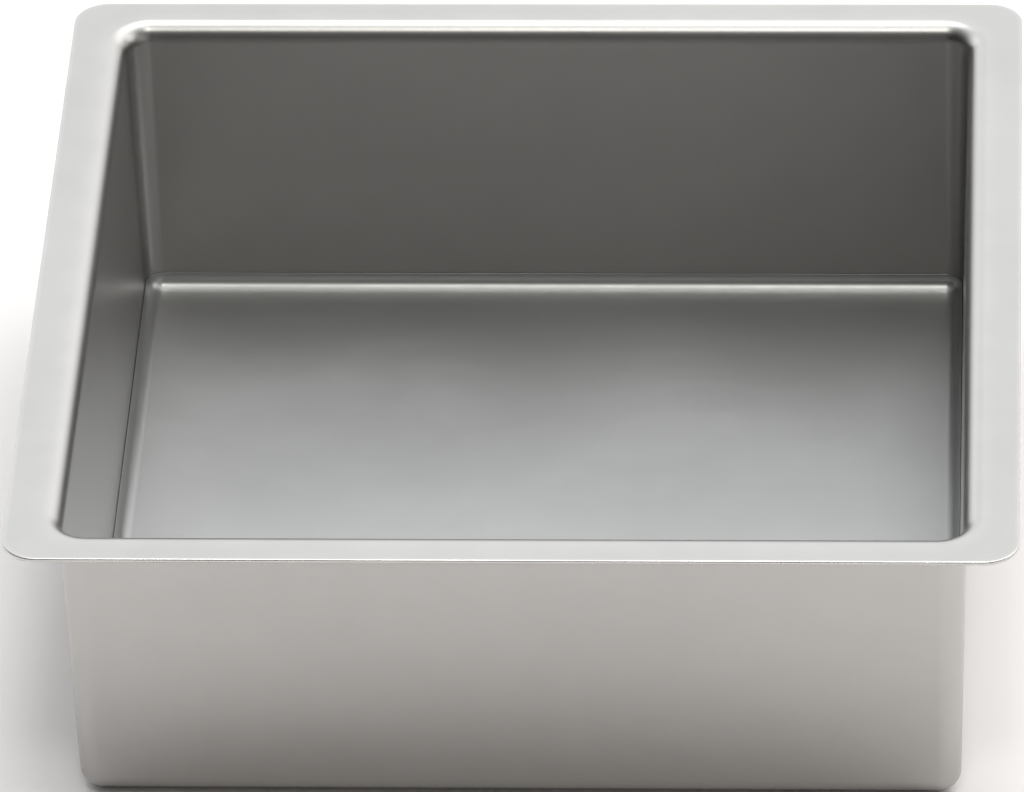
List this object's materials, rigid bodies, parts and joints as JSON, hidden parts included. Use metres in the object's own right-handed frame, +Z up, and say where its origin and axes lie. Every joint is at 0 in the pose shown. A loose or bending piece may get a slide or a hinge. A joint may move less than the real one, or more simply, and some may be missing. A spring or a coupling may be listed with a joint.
{
  "type": "square loose-bottom cake pan",
  "caption": "Square deep metal baking pan with a flat all-round rim flange, rounded corners and a loose base that lifts or pushes out.",
  "frame": {"origin": "centre of the pan's footprint, on the plane it stands on", "axes": "+Z up, out of the pan's open mouth; +X across the two wider (side) flanges; +Y towards the back"},
  "size_m": [0.2288, 0.2254, 0.0762],
  "materials": {
    "shell": "satin, fine directional grain",
    "base": "satin, fine directional grain"
  },
  "bodies": {
    "pan": {"pan_shell": "shell"},
    "base": {"loose_base": "base"}
  },
  "joints": [
    {"name": "base_lift", "type": "slide", "parent": "pan", "child": "base", "axis": [0, 0, 1], "range_m": [0, 0.09]}
  ]
}
